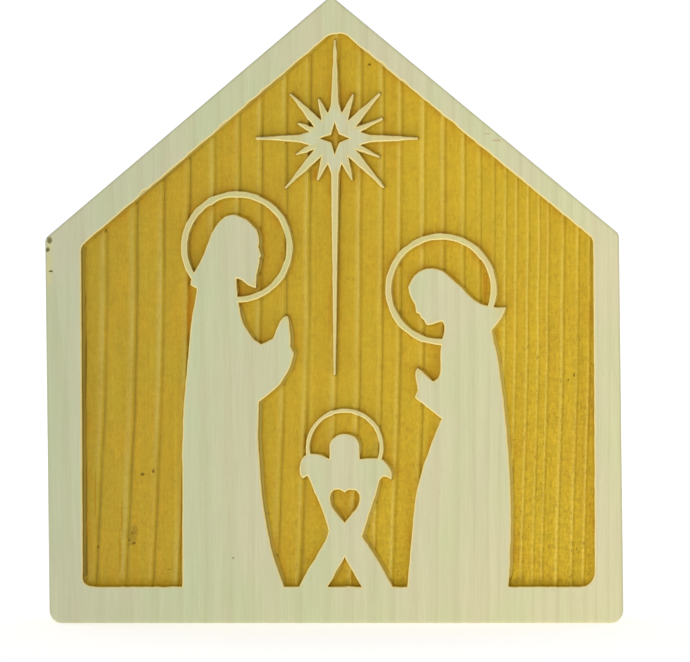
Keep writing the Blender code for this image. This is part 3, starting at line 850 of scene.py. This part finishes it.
def stained_wood(fibres, mark):
    """Softwood worn back by blasting and stained golden brown, with painted shade and painted highlights on
    its walls and ring edges.
    """
    finish, tree, shader, position = new_material("golden_stain", 0.6)
    shader.inputs["Specular IOR Level"].default_value = 0.12
    fibre = placed(tree, fibres, position)
    across = node(tree, "ShaderNodeAttribute", attribute_name="across_ring").outputs["Fac"]
    near = node(tree, "ShaderNodeAttribute", attribute_name="near_edge").outputs["Fac"]
    place = node(tree, "ShaderNodeSeparateXYZ", {0: position})
    tone = across_board(tree, position, STAIN_LEFT, STAIN_RIGHT, TONE_REACH)

    # Where the stain went in deeper or less deep
    blotch = noise_value(tree, position, (210, 210, 110), detail=3.0, roughness=0.6)
    tone = blend(tree, remap(tree, blotch, 0.50, 0.66, 0.0, 0.35), tone, DEEP_STAIN)
    rightward = scaled(tree, place.outputs["X"], LOW.x, HIGH.x)
    olive = remap(tree, blotch, 0.32, 0.50, 0.25, 0.0)
    olive = times(tree, olive, remap(tree, rightward, 0.4, 1.0, 1.0, 0.4))
    tone = blend(tree, olive, tone, OLIVE_STAIN)
    streaky = noise_value(tree, position, (300, 300, 7), detail=2.0)
    tone = blend(tree, remap(tree, streaky, 0.56, 0.72, 0.0, 0.45), tone, DARK_STREAK)
    tone = blend(tree, remap(tree, streaky, 0.28, 0.42, 0.3, 0.0), tone, PALE_STREAK)
    cloud = noise_value(tree, position, (620, 620, 300), detail=2.0)
    tone = shaded(tree, tone, scaled(tree, cloud, 0.3, 0.7, 0.96, 1.035))

    # Painted highlight on the hard edge of each ring, where its ridge faces the light, and painted shadow in
    # the step behind it
    lasting = noise_value(tree, position, (150, 150, 22))
    # Painted highlight on each ring's hard edge, where the ridge faces the light
    crest_highlight = remap(tree, across, 0.70, 0.95)
    crest_highlight = times(tree, crest_highlight, remap(tree, lasting, 0.3, 0.6, 0.15, 0.6))
    crest_highlight = times(tree, crest_highlight, scaled(tree, rightward, 0.0, 1.0, 0.8, 1.1))
    tone = blend(tree, crest_highlight, tone, across_board(tree, position, CREST_HIGHLIGHT_LEFT, CREST_HIGHLIGHT_RIGHT, HIGH.x))
    # Painted shadow in the step behind each hard edge
    drop = remap(tree, across, 0.0, 0.15, 1.0, 0.0)
    drop = times(tree, drop, remap(tree, lasting, 0.38, 0.62, 0.75, 0.35))
    drop = times(tree, drop, scaled(tree, rightward, 0.0, 1.0, 1.0, 0.5))
    tone = blend(tree, drop, tone, RING_STEP_SHADOW)

    # Stain pooled along the raised edges, deepened with painted shade there, then painted shade where the
    # floor meets them, and a darker ragged band along the foot of the recess
    # Stain pooled along the raised edges, deepened with painted shade
    pool_and_shade = remap(tree, near, 0.45, 0.95)
    pool_and_shade = times(tree, pool_and_shade, remap(tree, blotch, 0.48, 0.62, 0.0, 0.45))
    tone = blend(tree, pool_and_shade, tone, POOLED_STAIN_AND_SHADE)
    # Painted shade where the floor meets the raised edges
    tone = blend(tree, remap(tree, near, 0.84, 0.97, 0.0, 0.15), tone, EDGE_SHADE)
    # A darker, ragged band along the foot of the recess
    fringe = noise_value(tree, position, (1300, 1300, 140), detail=3.0)
    fringe = plus(tree, place.outputs["Z"], scaled(tree, fringe, 0.3, 0.7, -FRINGE, FRINGE))
    fringe = remap(tree, fringe, FOOT_OF_RECESS, FOOT_OF_RECESS + 2 * FRINGE, 0.8, 0.0)
    tone = blend(tree, fringe, tone, FOOT_BAND_TONE)
    tone = marked(tree, tone, mark, position, POCKETS, POCKET_STAIN, 0.75)

    # Grit and fibres, coarser on the right
    to_right = remap(tree, minus(tree, place.outputs["X"], place.outputs["Z"]), LOW.x, 50 * MM)
    gritty = scaled(tree, to_right, 0.0, 1.0, 0.45, 1.1)
    tone = shaded(tree, tone, scaled(tree, fibre["Fibre"], 0.3, 0.7, 0.94, 1.05))
    grit = noise_value(tree, position, (1900, 1900, 800), detail=4.0, roughness=0.75)
    ripple = noise_value(tree, position, (450, 450, 1900), detail=2.0)
    rough = minus(tree, plus(tree, grit, times(tree, ripple, 0.35)), 0.675)
    tone = shaded(tree, tone, plus(tree, times(tree, rough, gritty), 1.0))
    patchy = noise_value(tree, position, (260, 260, 160), detail=1.0)
    dots = noise_value(tree, position, (2100, 2100, 750), detail=3.0, roughness=0.6)
    dots = remap(tree, dots, 0.56, 0.66)
    dots = times(tree, dots, remap(tree, patchy, 0.40, 0.60))
    dots = times(tree, dots, scaled(tree, to_right, 0.0, 1.0, 0.25, 0.7))
    tone = blend(tree, dots, tone, DOT_STAIN)
    tone = marked(tree, tone, mark, position, BROWN_SMUDGES, SMUDGE_STAIN, 0.6)
    tone = marked(tree, tone, mark, position, RESIN_STREAKS, RESIN_STAIN, 0.85)
    tone = marked(tree, tone, mark, position, DARK_SPECKS, SPECK_STAIN, 0.9)

    # Painted shade on its walls where they face away from the light at the left, darkest towards the board's
    # left, with painted shade lines on them, and a painted highlight along the edge at their top, on wood
    # left bare there
    normal = node(tree, "ShaderNodeSeparateXYZ", {0: node(tree, "ShaderNodeNewGeometry").outputs["Normal"]})
    depth = minus(tree, place.outputs["Y"], FRONT)
    # Painted shade on walls that face away from the light at the left
    shaded_side = remap(tree, normal.outputs["X"], 0.4, 0.85)
    wall = across_board(tree, position, SHADED_WALL_LEFT, SHADED_WALL_RIGHT, TONE_REACH)
    on_wall = remap(tree, depth, 1.9 * MM, 2.2 * MM, 0.85, 0.0)
    tone = blend(tree, times(tree, shaded_side, on_wall), tone, wall)
    # Painted shade lines at the top and at the foot of those walls
    upper = remap(tree, depth, 0.4 * MM, 0.7 * MM)
    upper = times(tree, upper, remap(tree, depth, 0.9 * MM, 1.3 * MM, 0.6, 0.0))
    lower = remap(tree, depth, 1.7 * MM, 2.1 * MM, 0.0, 0.55)
    on_left = remap(tree, place.outputs["X"], LOW.x, TONE_REACH, 1.0, 0.25)
    shade_lines = times(tree, plus(tree, upper, lower), on_left)
    tone = blend(tree, times(tree, shaded_side, shade_lines), tone, WALL_SHADE_LINE)
    # Painted highlight along the top edge of the walls, on wood left bare there
    edge_highlight = across_board(tree, position, EDGE_HIGHLIGHT_LEFT, EDGE_HIGHLIGHT_RIGHT, TONE_REACH)
    tone = blend(tree, remap(tree, depth, 0.25 * MM, 0.6 * MM, 0.95, 0.0), tone, edge_highlight)
    tree.links.new(tone, shader.inputs["Base Color"])
    height = plus(tree, fibre["Fibre"], times(tree, rough, gritty))
    bump = node(tree, "ShaderNodeBump", {"Height": height, "Strength": 0.5, "Distance": 0.1 * MM})
    tree.links.new(bump.outputs["Normal"], shader.inputs["Normal"])
    return finish


def wood_width(flanks, spot):
    """How wide the wood is at a point of the front face, in its narrowest direction."""
    start = Vector((spot.x, FRONT + 0.5 * MM, spot.z))
    widths = [BLOCK_DEPTH]
    for i in range(4):
        way = Vector((math.cos(i * math.pi / 4), 0, math.sin(i * math.pi / 4)))
        sides = [flanks.ray_cast(start, side)[3] for side in (way, -way)]
        if None not in sides:
            widths.append(sum(sides))
    return min(widths)


def mark_points(piece, flanks):
    """Stores each point's place across its ring, its nearness to a raised edge and if its wood is thin."""
    mesh = piece.data
    across = mesh.attributes.new("across_ring", "FLOAT", "POINT")
    near = mesh.attributes.new("near_edge", "FLOAT", "POINT")
    thin = mesh.attributes.new("thin_wood", "FLOAT", "POINT")
    for vert in mesh.vertices:
        if vert.co.y < FRONT + TOUCH:
            share = (wood_width(flanks, vert.co) - THIN_WOOD[0]) / (THIN_WOOD[1] - THIN_WOOD[0])
            thin.data[vert.index].value = 1 - max(0.0, min(1.0, share))
        across.data[vert.index].value = ring_at(vert.co.x - HARD_EDGE_SIDE, vert.co.z)
        distance = flanks.find_nearest(vert.co, NEAR_REACH)[3]
        near.data[vert.index].value = 0.0 if distance is None else 1 - distance / NEAR_REACH


def paint(piece, bare, stained):
    """Gives the recess its stain and leaves the rest bare."""
    piece.data.materials.clear()
    piece.data.materials.append(bare)
    piece.data.materials.append(stained)
    shape = bmesh.new()
    shape.from_mesh(piece.data)
    shape.normal_update()
    for face in shape.faces:
        centre = face.calc_center_median()
        depth = centre.y - FRONT
        face.material_index = int(in_border(centre) and TOUCH < depth < SUNK_DEPTH)
        face.smooth = depth > TOUCH
    shape.to_mesh(piece.data)
    shape.free()


def make_block():
    """The whole block: the frame's solid with worn edges and a worn floor."""
    piece = copy_of_solid()
    tree, low, high = floor_of(piece)
    sink_floor(piece)
    flanks = wear_edges(piece)
    divide_front(piece)
    combine(piece, make_floor(tree, low, high), "UNION")
    cut_chips(piece)
    mark_points(piece, flanks)
    select_nothing()
    bpy.context.view_layer.objects.active = piece
    piece.select_set(True)
    bpy.ops.object.shade_smooth_by_angle(angle=math.radians(28))
    rings = growth_ring_group()
    fibres = fibre_group()
    mark = mark_group()
    paint(piece, bare_wood(rings, fibres, mark), stained_wood(fibres, mark))
    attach(piece, "root")
    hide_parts("carved_block")
    return piece


def make_stage():
    """A white floor that curves up into a backdrop."""
    select_nothing()
    bpy.ops.mesh.primitive_plane_add(size=FLOOR_SIZE, location=(0, 0, 0))
    floor = bpy.context.object
    floor.name = "studio_floor"
    edit(floor)
    pick(floor, "EDGE", lambda edge: all(vert.co.y > FLOOR_BACK for vert in edge.verts))
    bpy.ops.mesh.extrude_edges_move(TRANSFORM_OT_translate={"value": (0, 0, BACKDROP_HEIGHT)})
    bpy.ops.mesh.select_all(action="DESELECT")
    pick(floor, "EDGE", lambda edge: all(vert.co.y > FLOOR_BACK and vert.co.z < 0.1 for vert in edge.verts))
    bpy.ops.mesh.bevel(offset=COVE_RADIUS, segments=16)
    close_edit()
    bpy.ops.object.shade_smooth()
    paper, _, shader, _ = new_material("white_paper", 0.9)
    shader.inputs["Base Color"].default_value = PAPER
    shader.inputs["Emission Color"].default_value = WHITE
    shader.inputs["Emission Strength"].default_value = PAPER_GLOW
    floor.data.materials.append(paper)


def add_softbox(name, place, aim, size, power, shadow_casters):
    """A square soft light whose shadows only the given pieces cast, so that it can stand low."""
    lamp = bpy.data.lights.new(name, "AREA")
    lamp.size = size
    lamp.energy = power
    light = bpy.data.objects.new(name, lamp)
    light.location = place
    light.rotation_euler = (Vector(aim) - Vector(place)).to_track_quat("-Z", "Y").to_euler()
    bpy.context.scene.collection.objects.link(light)
    casters = bpy.data.collections.new(name + "_shadow_casters")
    for piece in shadow_casters:
        casters.objects.link(piece)
    light.light_linking.blocker_collection = casters
    light.light_linking.receiver_collection = casters


def light_the_stage(block):
    world = bpy.data.worlds.new("studio")
    bpy.context.scene.world = world
    world.use_nodes = True
    sky = world.node_tree.nodes["Background"]
    sky.inputs["Color"].default_value = WHITE
    sky.inputs["Strength"].default_value = SKY_STRENGTH
    add_softbox("low_left_softbox", SOFTBOX_PLACE, SOFTBOX_AIM, SOFTBOX_SIZE, SOFTBOX_POWER, [block])
    bpy.context.scene.view_settings.view_transform = "Standard"


def add_camera():
    view = bpy.data.cameras.new("front_view")
    view.sensor_width = SENSOR_WIDTH
    view.lens = SENSOR_WIDTH * CAMERA_DISTANCE / VIEW_WIDTH
    camera = bpy.data.objects.new("front_view", view)
    camera.location = (VIEW_CENTRE_X, FRONT - CAMERA_DISTANCE, VIEW_CENTRE_Z)
    camera.rotation_euler = (math.pi / 2, 0, 0)
    bpy.context.scene.collection.objects.link(camera)
    bpy.context.scene.camera = camera


add_camera()
block = make_block()
make_stage()
light_the_stage(block)
